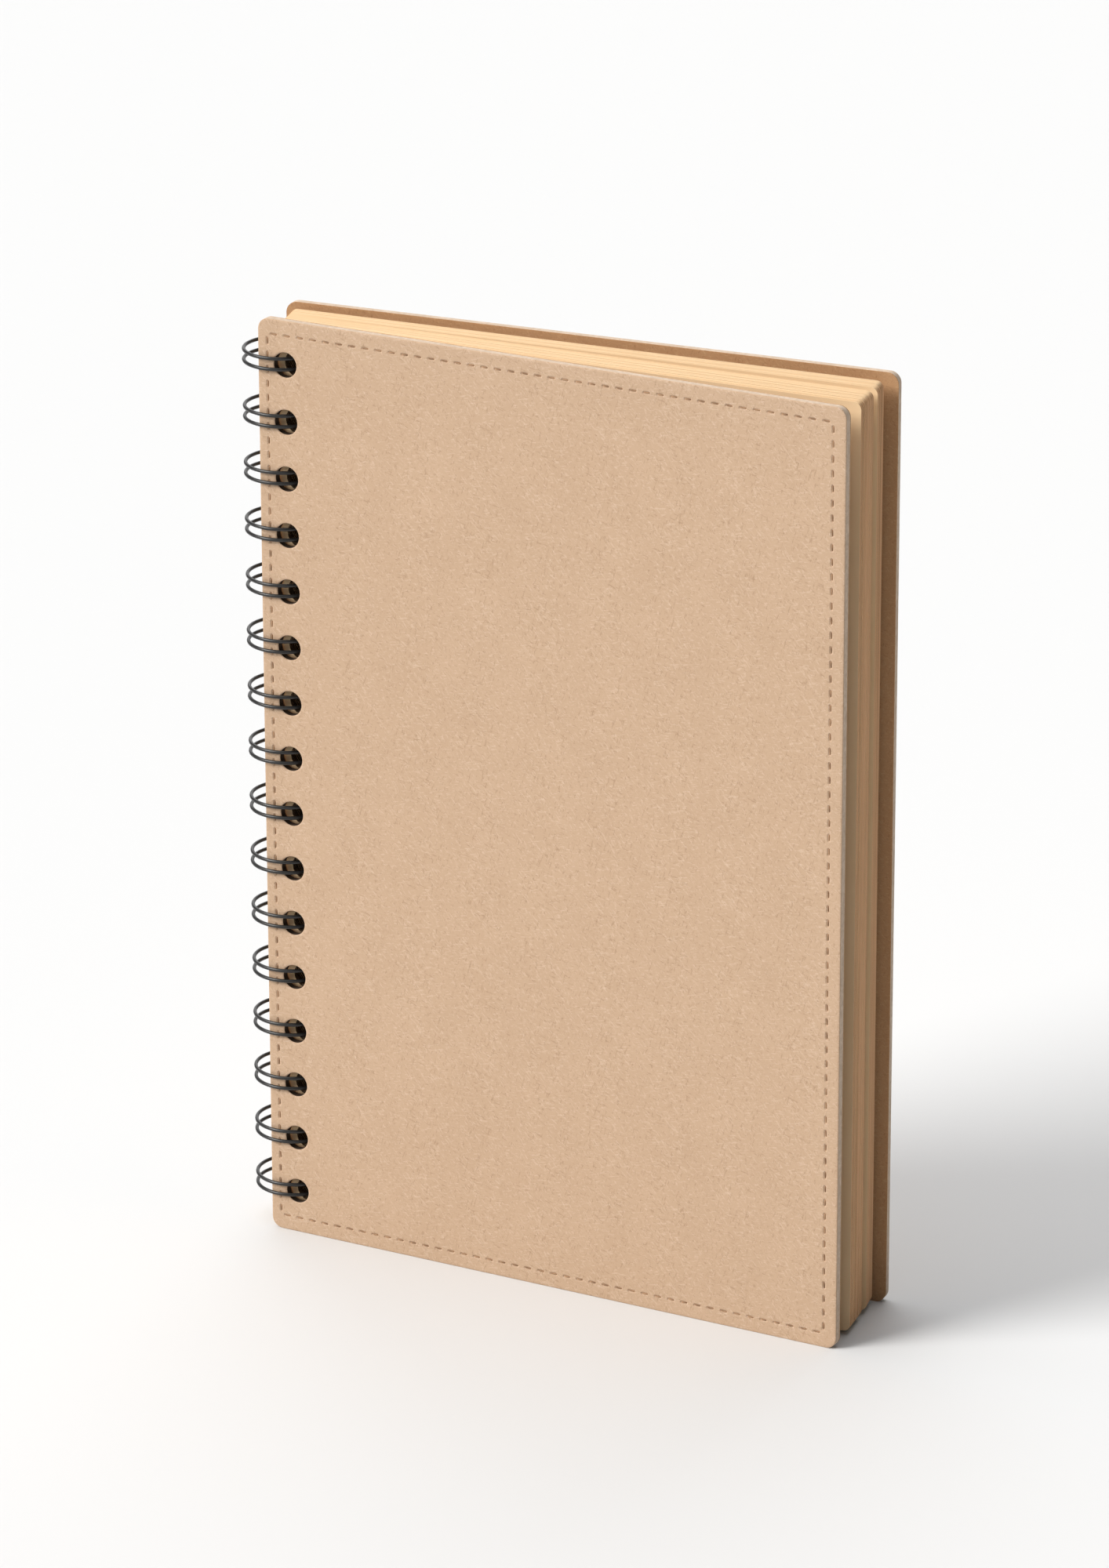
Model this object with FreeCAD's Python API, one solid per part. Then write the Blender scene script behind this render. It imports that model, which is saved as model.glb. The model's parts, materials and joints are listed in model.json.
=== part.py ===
import FreeCAD, Part

import math
import os

# Twin-loop wire-bound sketchbook with two board covers, standing on its bottom edges.
# Every size is in millimetres and every angle in degrees.
# The book is built round the axis of the wire rings: +X runs from the spine to the
# fore edge, +Z is up and the front cover lies towards -Y. It is moved at the end so
# that the middle of the bottom of its box is the origin.

# Covers
COVER_WIDTH = 140.0
COVER_HEIGHT = 210.0
COVER_CORNER_RADIUS = 2.5
FACING_THICKNESS = 0.25
BOARD_THICKNESS = 1.45
LINING_THICKNESS = 0.25

# Opening of the book as it stands
REST_WEDGE = 5.6
FRONT_GAP_ANGLE = 2.4
MIDDLE_GAP_ANGLE = 1.0
REAR_GAP_ANGLE = 0.6
FRONT_FAN_ANGLE = 1.1

# Leaves
PACK_COUNT = 20
PACKS_BEFORE_GAP = 12
LEAVES_PER_PACK = 3
LEAF_THICKNESS = 0.14
LEAF_CLEARANCE = 0.03
LEAF_CORNER_RADIUS = 1.6
LEAF_HEAD_RECESS = 1.0
LEAF_FORE_RECESS = 0.8
LEAF_SLANT = 1.8
LEAF_CENTRE_SHIFT = 0.2
FRONT_LEAF_CLEARANCE = 0.25

# Punched holes
HOLE_PITCH = 12.7
HOLE_DIAMETER = 5.6
LEAF_HOLE_DIAMETER = 6.0
HOLE_TO_SPINE_EDGE = 6.6
FRONT_HOLE_SHIFT = 0.3
REAR_HOLE_SHIFT = -0.1
SMALLEST_HOLE_MARGIN = 6.0

# Binding wire
WIRE_DIAMETER = 0.8
WIRE_CLEARANCE = 0.15
RING_CLEARANCE = 0.35
WIRE_SPACING = 2.4
WIRE_BEND_RADIUS = 0.8
WIRE_STUB = 1.0
SEAM_GAP = 0.3

# Stitched line round each cover
STITCH_PITCH = 3.175
STITCH_LENGTH = 1.7
STITCH_WIDTH = 0.5
STITCH_HEIGHT = 0.12
STITCH_HEAD_INSET = 3.3
STITCH_SPINE_INSET = 2.3
STITCH_FORE_INSET = 3.0

UP = FreeCAD.Vector(0, 0, 1)
ORIGIN = FreeCAD.Vector(0, 0, 0)

# Worked out from the sizes above
COVER_THICKNESS = FACING_THICKNESS + BOARD_THICKNESS + LINING_THICKNESS
LEAF_PITCH = LEAF_THICKNESS + LEAF_CLEARANCE
PACK_PITCH = LEAVES_PER_PACK * LEAF_PITCH
LEAF_BLOCK = PACK_COUNT * PACK_PITCH
SEAM_ROOM = WIRE_DIAMETER + 2 * WIRE_CLEARANCE + SEAM_GAP
COVER_GAP = (FRONT_LEAF_CLEARANCE + LEAF_BLOCK + SEAM_ROOM) / 2
COVER_OUTSIDE = COVER_GAP + COVER_THICKNESS
RING_RADIUS = COVER_OUTSIDE + RING_CLEARANCE + WIRE_DIAMETER / 2
RING_INSIDE = RING_RADIUS - WIRE_DIAMETER / 2
RING_OUTSIDE = RING_RADIUS + WIRE_DIAMETER / 2
HOLE_COUNT = int((COVER_HEIGHT - 2 * SMALLEST_HOLE_MARGIN) / HOLE_PITCH) + 1
FIRST_HOLE = (COVER_HEIGHT - (HOLE_COUNT - 1) * HOLE_PITCH) / 2
NEAREST_CROSSING = math.sqrt(RING_INSIDE ** 2 - COVER_OUTSIDE ** 2)
FARTHEST_CROSSING = math.sqrt(RING_OUTSIDE ** 2 - COVER_GAP ** 2)
COVER_HOLE_X = (NEAREST_CROSSING + FARTHEST_CROSSING) / 2
FRONT_SPINE_EDGE = COVER_HOLE_X + FRONT_HOLE_SHIFT - HOLE_TO_SPINE_EDGE
REAR_SPINE_EDGE = COVER_HOLE_X + REAR_HOLE_SHIFT - HOLE_TO_SPINE_EDGE
REAR_FAN_ANGLE = REST_WEDGE - FRONT_GAP_ANGLE - FRONT_FAN_ANGLE - MIDDLE_GAP_ANGLE - REAR_GAP_ANGLE


def hole_heights():
    """Heights of the punched holes above the bottom edge of the covers."""
    return [FIRST_HOLE + index * HOLE_PITCH for index in range(HOLE_COUNT)]


def rounded_outline(left, bottom, width, height, radius):
    """Closed wire of a rounded rectangle in the plane y = 0."""
    right = left + width
    top = bottom + height
    diagonal = radius * (1 - math.sqrt(0.5))

    def point(x, z):
        return FreeCAD.Vector(x, 0, z)

    def corner(start, middle, end):
        return Part.Arc(point(*start), point(*middle), point(*end)).toShape()

    def side(start, end):
        return Part.LineSegment(point(*start), point(*end)).toShape()

    edges = [
        side((left + radius, bottom), (right - radius, bottom)),
        corner((right - radius, bottom), (right - diagonal, bottom + diagonal), (right, bottom + radius)),
        side((right, bottom + radius), (right, top - radius)),
        corner((right, top - radius), (right - diagonal, top - diagonal), (right - radius, top)),
        side((right - radius, top), (left + radius, top)),
        corner((left + radius, top), (left + diagonal, top - diagonal), (left, top - radius)),
        side((left, top - radius), (left, bottom + radius)),
        corner((left, bottom + radius), (left + diagonal, bottom + diagonal), (left + radius, bottom)),
    ]
    return Part.Wire(edges)


def punched_sheet(left, bottom, width, height, radius, hole_x, hole_diameter, y, thickness):
    """Flat sheet with rounded corners and a row of holes, from y towards +Y."""
    wires = [rounded_outline(left, bottom, width, height, radius)]
    for hole_z in hole_heights():
        centre = FreeCAD.Vector(hole_x, 0, hole_z)
        circle = Part.Circle(centre, FreeCAD.Vector(0, 1, 0), hole_diameter / 2)
        wires.append(Part.Wire([circle.toShape()]))
    face = Part.Face(wires, "Part::FaceMakerBullseye")
    sheet = face.extrude(FreeCAD.Vector(0, thickness, 0))
    sheet.translate(FreeCAD.Vector(0, y, 0))
    return sheet


def cover_sheet(spine_edge, y, thickness):
    """One layer of a cover, which all have the cover's outline and holes."""
    hole_x = spine_edge + HOLE_TO_SPINE_EDGE
    return punched_sheet(spine_edge, 0, COVER_WIDTH, COVER_HEIGHT, COVER_CORNER_RADIUS,
                         hole_x, HOLE_DIAMETER, y, thickness)


def stitch(x, z, length_x, length_z, y):
    """One stitch: a short bar of thread that lies on the facing."""
    corner = FreeCAD.Vector(x - length_x / 2, y, z - length_z / 2)
    return Part.makeBox(length_x, STITCH_HEIGHT, length_z, corner)


def stitch_places(start, end):
    """Middles of the stitches between two corners of the stitched line."""
    count = round((end - start) / STITCH_PITCH)
    pitch = (end - start) / count
    return [start + (index + 0.5) * pitch for index in range(count)]


def stitching(spine_edge, y):
    """Line of stitches round a cover, as separate bars of thread."""
    left = spine_edge + STITCH_SPINE_INSET
    right = spine_edge + COVER_WIDTH - STITCH_FORE_INSET
    bottom = STITCH_HEAD_INSET
    top = COVER_HEIGHT - STITCH_HEAD_INSET
    bars = []
    for x in stitch_places(left, right):
        bars.append(stitch(x, bottom, STITCH_LENGTH, STITCH_WIDTH, y))
        bars.append(stitch(x, top, STITCH_LENGTH, STITCH_WIDTH, y))
    for z in stitch_places(bottom, top):
        bars.append(stitch(left, z, STITCH_WIDTH, STITCH_LENGTH, y))
        bars.append(stitch(right, z, STITCH_WIDTH, STITCH_LENGTH, y))
    return Part.makeCompound(bars)


def rear_cover():
    """Layers of the rear cover, from the leaves outwards."""
    lining = COVER_GAP
    board = lining + LINING_THICKNESS
    facing = board + BOARD_THICKNESS
    return {
        "rear_lining": cover_sheet(REAR_SPINE_EDGE, lining, LINING_THICKNESS),
        "rear_board": cover_sheet(REAR_SPINE_EDGE, board, BOARD_THICKNESS),
        "rear_facing": cover_sheet(REAR_SPINE_EDGE, facing, FACING_THICKNESS),
        "rear_stitching": stitching(REAR_SPINE_EDGE, COVER_OUTSIDE),
    }


def front_cover():
    """Layers of the front cover, from the outside towards the leaves."""
    facing = -COVER_OUTSIDE
    board = facing + FACING_THICKNESS
    lining = board + BOARD_THICKNESS
    layers = {
        "front_stitching": stitching(FRONT_SPINE_EDGE, facing - STITCH_HEIGHT),
        "front_facing": cover_sheet(FRONT_SPINE_EDGE, facing, FACING_THICKNESS),
        "front_board": cover_sheet(FRONT_SPINE_EDGE, board, BOARD_THICKNESS),
        "front_lining": cover_sheet(FRONT_SPINE_EDGE, lining, LINING_THICKNESS),
    }
    for layer in layers.values():
        layer.rotate(ORIGIN, UP, -REST_WEDGE)
    return layers


def pack_angle(index):
    """Angle that one pack of leaves has swung open, from the front pack backwards."""
    rear_packs = PACK_COUNT - PACKS_BEFORE_GAP
    first_angle = REST_WEDGE - FRONT_GAP_ANGLE
    if index < PACKS_BEFORE_GAP:
        return first_angle - FRONT_FAN_ANGLE * index / max(PACKS_BEFORE_GAP - 1, 1)
    gap_angle = first_angle - FRONT_FAN_ANGLE - MIDDLE_GAP_ANGLE
    return gap_angle - REAR_FAN_ANGLE * (index - PACKS_BEFORE_GAP) / max(rear_packs - 1, 1)


def leaf_hole_x(index):
    """Distance of a pack's holes from the ring axis: the packs hang slanted on the rings."""
    nearest = math.sqrt(RING_INSIDE ** 2 - (COVER_GAP - FRONT_LEAF_CLEARANCE) ** 2)
    middle = (nearest + RING_OUTSIDE) / 2 - LEAF_CENTRE_SHIFT
    return middle + LEAF_SLANT * (0.5 - index / max(PACK_COUNT - 1, 1))


def leaf_pack(index):
    """Leaves that turn together, as separate punched sheets."""
    hole_x = leaf_hole_x(index)
    left = hole_x - HOLE_TO_SPINE_EDGE
    width = FRONT_SPINE_EDGE + COVER_WIDTH - LEAF_FORE_RECESS - leaf_hole_x(0) + HOLE_TO_SPINE_EDGE
    height = COVER_HEIGHT - 2 * LEAF_HEAD_RECESS
    front = -COVER_GAP + FRONT_LEAF_CLEARANCE + index * PACK_PITCH
    leaves = []
    for leaf in range(LEAVES_PER_PACK):
        leaves.append(punched_sheet(left, LEAF_HEAD_RECESS, width, height, LEAF_CORNER_RADIUS,
                                    hole_x, LEAF_HOLE_DIAMETER,
                                    front + leaf * LEAF_PITCH, LEAF_THICKNESS))
    pack = Part.makeCompound(leaves)
    pack.rotate(ORIGIN, UP, -pack_angle(index))
    return pack


def ring_point(angle, height):
    """Point of the ring circle; the angle is from +X towards +Y, in radians."""
    return FreeCAD.Vector(RING_RADIUS * math.cos(angle), RING_RADIUS * math.sin(angle), height)


def ring_direction(angle):
    """Direction along the ring circle at an angle in radians."""
    return FreeCAD.Vector(-math.sin(angle), math.cos(angle), 0)


def binding_wire():
    """One continuous wire: a narrow loop for each hole, joined by straight links."""
    seam_height = COVER_GAP - WIRE_CLEARANCE - WIRE_DIAMETER / 2
    link_angle = math.asin(seam_height / RING_RADIUS)
    base = link_angle + WIRE_BEND_RADIUS / RING_RADIUS
    tip_reach = WIRE_SPACING / 2 + WIRE_DIAMETER + SEAM_GAP
    tip = link_angle + 2 * math.pi - tip_reach / RING_RADIUS
    half_way = (base + tip) / 2
    out = ring_direction(base)
    link = ring_point(base, 0) - out * WIRE_BEND_RADIUS
    bend_middle = WIRE_BEND_RADIUS * math.sqrt(0.5)
    bend_slack = WIRE_BEND_RADIUS - bend_middle

    def at_height(point, height):
        return FreeCAD.Vector(point.x, point.y, height)

    edges = []
    link_start = at_height(link, FIRST_HOLE - WIRE_SPACING / 2 - WIRE_BEND_RADIUS - WIRE_STUB)
    for height in hole_heights():
        lower = height - WIRE_SPACING / 2
        upper = height + WIRE_SPACING / 2
        below = at_height(link, lower - WIRE_BEND_RADIUS)
        above = at_height(link, upper + WIRE_BEND_RADIUS)
        elbow = link + out * bend_slack
        edges.append(Part.LineSegment(link_start, below).toShape())
        edges.append(Part.Arc(below, at_height(elbow, lower - bend_slack), ring_point(base, lower)).toShape())
        edges.append(Part.Arc(ring_point(base, lower), ring_point(half_way, lower),
                              ring_point(tip, lower)).toShape())
        nose = ring_point(tip, height) + ring_direction(tip) * (WIRE_SPACING / 2)
        edges.append(Part.Arc(ring_point(tip, lower), nose, ring_point(tip, upper)).toShape())
        edges.append(Part.Arc(ring_point(tip, upper), ring_point(half_way, upper),
                              ring_point(base, upper)).toShape())
        edges.append(Part.Arc(ring_point(base, upper), at_height(elbow, upper + bend_slack), above).toShape())
        link_start = above
    edges.append(Part.LineSegment(link_start, link_start + UP * WIRE_STUB).toShape())
    path = Part.Wire(edges)
    start = path.OrderedVertexes[0].Point
    section = Part.Wire([Part.Circle(start, UP, WIRE_DIAMETER / 2).toShape()])
    return path.makePipeShell([section], True, False)


def frame_shift():
    """Move from the ring axis to the middle of the bottom of the book's box."""
    wedge = math.radians(REST_WEDGE)
    front_fore_edge = FRONT_SPINE_EDGE + COVER_WIDTH
    front_x = front_fore_edge * math.cos(wedge) - COVER_GAP * math.sin(wedge)
    highest_x = max(REAR_SPINE_EDGE + COVER_WIDTH, front_x)
    lowest_y = -COVER_OUTSIDE * math.cos(wedge) - front_fore_edge * math.sin(wedge)
    highest_y = max(RING_OUTSIDE, COVER_OUTSIDE + STITCH_HEIGHT)
    return FreeCAD.Vector((RING_OUTSIDE - highest_x) / 2, -(lowest_y + highest_y) / 2, 0)


def build():
    """All pieces of the book, by name, in the frame of the row."""
    pieces = front_cover()
    for index in range(PACK_COUNT):
        pieces[f"leaf_pack_{index + 1:02d}"] = leaf_pack(index)
    pieces.update(rear_cover())
    pieces["binding_wire"] = binding_wire()
    shift = frame_shift()
    for piece in pieces.values():
        piece.translate(shift)
    return pieces


os.makedirs("parts", exist_ok=True)
for name, piece in build().items():
    piece.exportStep(f"parts/{name}.step")
    print(name, "solids", len(piece.Solids), "volume", round(piece.Volume, 2), "valid", piece.isValid())
print("ring axis", frame_shift())
print("pack angles", [round(pack_angle(index), 3) for index in range(PACK_COUNT)])
print("leaf hole distances", round(leaf_hole_x(0), 3), round(leaf_hole_x(PACK_COUNT - 1), 3))
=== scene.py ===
"""Looks of a wire-bound kraft sketchbook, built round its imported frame.

The book stands on the bottom edges of its two covers, a little open. Points are worked out in
millimetres in the closed book, with the axis of the wire rings as the origin, +X towards the
fore edge, +Z up and the front cover towards -Y. RingAxis turns and moves them into the frame.
"""

import json
import logging
import math
import random
from dataclasses import dataclass, field
from enum import Enum

import bpy
from mathutils import Matrix, Vector
from mathutils.geometry import delaunay_2d_cdt

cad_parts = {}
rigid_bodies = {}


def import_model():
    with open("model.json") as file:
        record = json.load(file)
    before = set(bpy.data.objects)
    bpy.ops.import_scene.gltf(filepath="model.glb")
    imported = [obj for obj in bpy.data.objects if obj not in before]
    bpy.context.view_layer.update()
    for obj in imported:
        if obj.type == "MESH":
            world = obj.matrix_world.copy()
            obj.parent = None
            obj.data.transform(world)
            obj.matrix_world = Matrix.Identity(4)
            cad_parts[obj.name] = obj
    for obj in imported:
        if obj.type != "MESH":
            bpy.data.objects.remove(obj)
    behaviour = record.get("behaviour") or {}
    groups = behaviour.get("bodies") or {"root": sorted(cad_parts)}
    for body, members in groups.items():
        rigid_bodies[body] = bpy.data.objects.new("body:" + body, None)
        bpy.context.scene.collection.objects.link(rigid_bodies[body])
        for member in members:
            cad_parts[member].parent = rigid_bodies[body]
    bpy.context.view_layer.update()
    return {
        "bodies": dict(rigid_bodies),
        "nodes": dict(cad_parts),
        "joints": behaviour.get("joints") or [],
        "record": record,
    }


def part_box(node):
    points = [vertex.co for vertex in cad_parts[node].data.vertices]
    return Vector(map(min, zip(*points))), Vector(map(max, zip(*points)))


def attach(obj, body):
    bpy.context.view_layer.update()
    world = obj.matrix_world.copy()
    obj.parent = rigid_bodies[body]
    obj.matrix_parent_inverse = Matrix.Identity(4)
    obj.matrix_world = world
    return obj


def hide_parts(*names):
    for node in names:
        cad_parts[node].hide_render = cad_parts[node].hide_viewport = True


LOG = logging.getLogger("sketchbook")
MM = 0.001
COVER_JOINT = "front_cover_swing"
MIX_FACTOR, MIX_FIRST, MIX_SECOND = 0, 6, 7  # colour inputs of a mix node
MIX_COLOUR = 2  # its colour output
TRIANGLES_ONLY = 0  # cutting mode that keeps every triangle
CUT_TOLERANCE = 1e-7

Point2 = tuple[float, float]
Socket = bpy.types.NodeSocket


class Side(Enum):
    """Which cover a piece belongs to, as the direction of its outside along Y."""

    FRONT = -1
    REAR = 1

    @property
    def word(self) -> str:
        """Start of the names of this cover's pieces."""
        return self.name.lower()


class Along(Enum):
    """Direction in which a stitch runs over the cover."""

    WIDTH = "width"
    HEIGHT = "height"


# ---------------------------------------------------------------- colour and nodes


def linear(hex_code: str) -> tuple[float, float, float, float]:
    """Turns an sRGB hex colour to linear light.

    Args:
        hex_code: Six hex digits, such as "d9b998".

    Returns:
        Red, green, blue and an alpha of one.
    """
    channels = []
    for start in (0, 2, 4):
        value = int(hex_code[start:start + 2], 16) / 255
        channels.append(value / 12.92 if value <= 0.04045 else ((value + 0.055) / 1.055) ** 2.4)
    return channels[0], channels[1], channels[2], 1.0


def per_metre(size_mm: float) -> float:
    """Scale of a pattern whose features are this many millimetres across."""
    return 1.0 / (size_mm * MM)


@dataclass
class MaterialDraft:
    """Material with one principled shader, and the nodes that feed it."""

    name: str
    material: bpy.types.Material = field(init=False)
    shader: bpy.types.Node = field(init=False)
    place: Socket = field(init=False)
    facing: Socket = field(init=False)

    def __post_init__(self) -> None:
        """Starts the material, with the object's coordinates in metres and its normals."""
        self.material = bpy.data.materials.new(self.name)
        self.material.use_nodes = True
        self.shader = self.material.node_tree.nodes["Principled BSDF"]
        coordinates = self.add("ShaderNodeTexCoord", {})
        self.place = coordinates.outputs["Object"]
        self.facing = coordinates.outputs["Normal"]

    def feed(self, node: bpy.types.Node, values: dict) -> None:
        """Sets attributes and inputs of a node.

        Args:
            node: Node that gets the values.
            values: Attribute names, or input names or numbers, each with a plain value or with the
                output socket that feeds the input.
        """
        for key, value in values.items():
            if isinstance(value, Socket):
                self.material.node_tree.links.new(value, node.inputs[key])
            elif isinstance(key, str) and hasattr(node, key):
                setattr(node, key, value)
            else:
                node.inputs[key].default_value = value

    def add(self, kind: str, values: dict) -> bpy.types.Node:
        """Adds a node of one kind, such as "ShaderNodeBump", and feeds it."""
        node = self.material.node_tree.nodes.new(kind)
        self.feed(node, values)
        return node

    def mapping(self, place: Socket, values: dict) -> Socket:
        """Turns or scales coordinates."""
        return self.add("ShaderNodeMapping", {"Vector": place, **values}).outputs["Vector"]

    def noise(self, place: Socket, scale: float, detail: float,
              roughness: float = 0.5) -> Socket:
        """Grey value of a noise pattern."""
        values = {"Vector": place, "Scale": scale, "Detail": detail, "Roughness": roughness}
        return self.add("ShaderNodeTexNoise", values).outputs["Fac"]

    def spread(self, grey: Socket, low: float, high: float) -> Socket:
        """Grey value stretched so that low becomes zero and high becomes one."""
        values = {"Value": grey, "From Min": low, "From Max": high}
        return self.add("ShaderNodeMapRange", values).outputs["Result"]

    def calculate(self, operation: str, *values: Socket | float) -> Socket:
        """Result of one sum, such as "MULTIPLY"."""
        inputs = dict(enumerate(values))
        return self.add("ShaderNodeMath", {"operation": operation, **inputs}).outputs[0]

    def mix(self, factor: Socket, first: Socket | str,
            second: Socket | str) -> Socket:
        """Colour between two colours, each of which is a socket or an sRGB hex code."""
        values = {"data_type": "RGBA", MIX_FACTOR: factor}
        for number, colour in ((MIX_FIRST, first), (MIX_SECOND, second)):
            values[number] = linear(colour) if isinstance(colour, str) else colour
        return self.add("ShaderNodeMix", values).outputs[MIX_COLOUR]

    def bump(self, height: Socket, strength: float, depth_mm: float) -> Socket:
        """Normals of a fine relief."""
        values = {"Height": height, "Strength": strength, "Distance": depth_mm * MM}
        return self.add("ShaderNodeBump", values).outputs["Normal"]

    def finish(self, values: dict) -> bpy.types.Material:
        """Feeds the shader and returns the material."""
        self.feed(self.shader, values)
        return self.material


# ---------------------------------------------------------------- finishes


@dataclass(frozen=True)
class HoleLine:
    """Strip of the frame, in metres, that holds the punched holes and no outer edge of a sheet."""

    x: float
    reach: float
    middle_height: float
    half_height: float

    def paint_hole_shade(self, draft: MaterialDraft, sheet: Socket, painted_shade: str) -> Socket:
        """Paints shade on the walls of the punched holes, as a dark colour.

        Args:
            draft: Material of the sheet.
            sheet: Colour of the rest of the sheet.
            painted_shade: Colour of the painted shade on the walls, as sRGB hex.

        Returns:
            Socket with the colour of the whole sheet.
        """
        # painted shade: faces in this strip that don't face along Y, the hole walls, get the dark shade
        # colour
        spot = draft.add("ShaderNodeSeparateXYZ", {"Vector": draft.place})
        facing = draft.add("ShaderNodeSeparateXYZ", {"Vector": draft.facing})
        beside = draft.calculate("COMPARE", spot.outputs["X"], self.x, self.reach)
        between = draft.calculate("COMPARE", spot.outputs["Z"], self.middle_height, self.half_height)
        upright = draft.calculate("COMPARE", facing.outputs["Y"], 0.0, 0.5)
        mask = draft.calculate("MULTIPLY", draft.calculate("MULTIPLY", beside, between), upright)
        return draft.mix(mask, sheet, painted_shade)


@dataclass(frozen=True)
class KraftPaper:
    """Uncoated kraft paper: unbleached long fibres, rolled flat and left matt.

    The eye sees a warm brown sheet with faint clouds, fine paler and darker fibres that lie in
    every direction, and hardly any gloss.
    """

    name: str
    base: str
    cloud: str
    pale_fibre: str
    dark_fibre: str
    cloud_mm: float = 11.0
    grain_mm: float = 0.5
    fibre_length_mm: float = 1.5
    fibre_width_mm: float = 0.32
    fibre_strength: float = 0.42
    fibre_edge: float = 0.1
    roughness: float = 0.86
    gloss: float = 0.25
    refraction: float = 1.45
    tooth_strength: float = 0.55
    tooth_mm: float = 0.015

    def fibres(self, draft: MaterialDraft, turn: float, start: float) -> Socket:
        """Mask of fibres that lie in one direction.

        Args:
            draft: Material of the paper.
            turn: Direction of the fibres in degrees, in the plane of the cover.
            start: Noise level above which a fibre shows.

        Returns:
            Socket that is one on a fibre and zero beside it.
        """
        length = per_metre(self.fibre_length_mm)
        turned = draft.mapping(draft.place, {"Rotation": (0, math.radians(turn), 0)})
        stretched = draft.mapping(turned, {"Scale": (length, length, per_metre(self.fibre_width_mm))})
        return draft.spread(draft.noise(stretched, 1.0, 2.0, 0.6), start, start + self.fibre_edge)

    def make(self) -> bpy.types.Material:
        """Makes the material."""
        draft = MaterialDraft(self.name)
        clouds = draft.noise(draft.place, per_metre(self.cloud_mm), 5.0, 0.66)
        colour = draft.mix(clouds, self.base, self.cloud)
        for turn, start, tint in ((12, 0.57, self.pale_fibre), (74, 0.59, self.dark_fibre),
                                  (131, 0.57, self.pale_fibre), (163, 0.60, self.dark_fibre)):
            mask = draft.calculate("MULTIPLY", self.fibres(draft, turn, start), self.fibre_strength)
            colour = draft.mix(mask, colour, tint)
        grain = draft.noise(draft.place, per_metre(self.grain_mm), 5.0, 0.7)
        return draft.finish({"Base Color": colour, "Roughness": self.roughness, "IOR": self.refraction,
                             "Specular IOR Level": self.gloss,
                             "Normal": draft.bump(grain, self.tooth_strength, self.tooth_mm)})


@dataclass(frozen=True)
class GreyBoard:
    """Greyboard: pressed waste paper, die-cut, so that its edge shows torn layers.

    The eye sees a pale, warm grey edge with fine lines along it and small darker specks. The walls of the
    punched holes are painted near black as shade.
    """

    holes: HoleLine
    name: str = "greyboard_cut_edge"
    base: str = "d9c4af"
    dark: str = "c0aa94"
    # painted shade: near-black colour of the hole walls
    painted_hole_shade: str = "453528"
    layer_mm: float = 0.16
    layer_length_mm: float = 4.5
    speck_mm: float = 0.9
    roughness: float = 0.92
    torn_strength: float = 0.7
    torn_mm: float = 0.05

    def make(self) -> bpy.types.Material:
        """Makes the material."""
        draft = MaterialDraft(self.name)
        length = per_metre(self.layer_length_mm)
        layers = draft.mapping(draft.place, {"Scale": (length, per_metre(self.layer_mm), length)})
        specks = draft.noise(draft.place, per_metre(self.speck_mm), 5.0)
        both = draft.calculate("MULTIPLY", draft.noise(layers, 1.0, 3.0), specks)
        edge = draft.mix(draft.spread(both, 0.15, 0.4), self.dark, self.base)
        # painted shade: the walls of the punched holes are coloured near black
        return draft.finish({"Base Color": self.holes.paint_hole_shade(draft, edge, self.painted_hole_shade),
                             "Normal": draft.bump(both, self.torn_strength, self.torn_mm),
                             "Roughness": self.roughness})


@dataclass(frozen=True)
class DrawingPaper:
    """Cream cartridge paper: soft wood pulp with a slight tooth, cut by guillotine.

    The eye sees a warm cream that is nearly even. The cut edges that face away from the spine are painted
    browner as shade, with painted dark lines of shade that run along the leaves. The walls of the punched
    holes are painted dark as shade.
    """

    holes: HoleLine
    name: str = "cream_cartridge_paper"
    base: str = "eed2ab"
    shade: str = "e7c89e"
    # painted shade: browner colour of the fore edge, and darker lines of shade between the leaves
    painted_fore_edge_shade: str = "e0ad82"
    painted_gap_shade: str = "ae8059"
    # painted shade: dark colour of the hole walls
    painted_hole_shade: str = "5a4431"
    gap_shade_mm: float = 0.7
    gap_shade_length_mm: float = 160.0
    cloud_mm: float = 14.0
    roughness: float = 0.8
    gloss: float = 0.3
    tooth_size_mm: float = 0.4
    tooth_strength: float = 0.35
    tooth_mm: float = 0.015

    def make(self) -> bpy.types.Material:
        """Makes the material."""
        draft = MaterialDraft(self.name)
        clouds = draft.noise(draft.place, per_metre(self.cloud_mm), 4.0, 0.6)
        sheet = self.paint_fore_edge_shade(draft, draft.mix(clouds, self.base, self.shade))
        grain = draft.noise(draft.place, per_metre(self.tooth_size_mm), 3.0)
        # painted shade: the walls of the punched holes are coloured dark
        return draft.finish({"Base Color": self.holes.paint_hole_shade(draft, sheet, self.painted_hole_shade),
                             "Normal": draft.bump(grain, self.tooth_strength, self.tooth_mm),
                             "Roughness": self.roughness, "Specular IOR Level": self.gloss})

    def paint_fore_edge_shade(self, draft: MaterialDraft, sheet: Socket) -> Socket:
        """Paints shade on the cut edges that face away from the spine: a browner colour, with painted
        dark lines of shade along the leaves.

        Args:
            draft: Material of the paper.
            sheet: Colour of the rest of the leaf.

        Returns:
            Socket with the colour of the whole leaf.
        """
        length = per_metre(self.gap_shade_length_mm)
        layers = draft.mapping(draft.place, {"Scale": (length, per_metre(self.gap_shade_mm), length)})
        gap_shades = draft.spread(draft.noise(layers, 1.0, 3.0, 0.7), 0.36, 0.64)
        facing = draft.add("ShaderNodeSeparateXYZ", {"Vector": draft.facing})
        # painted shade: faces that look away from the spine get the browner colour with darker lines
        outwards = draft.spread(facing.outputs["X"], 0.45, 0.9)
        return draft.mix(outwards, sheet, draft.mix(gap_shades, self.painted_gap_shade, self.painted_fore_edge_shade))


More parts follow.
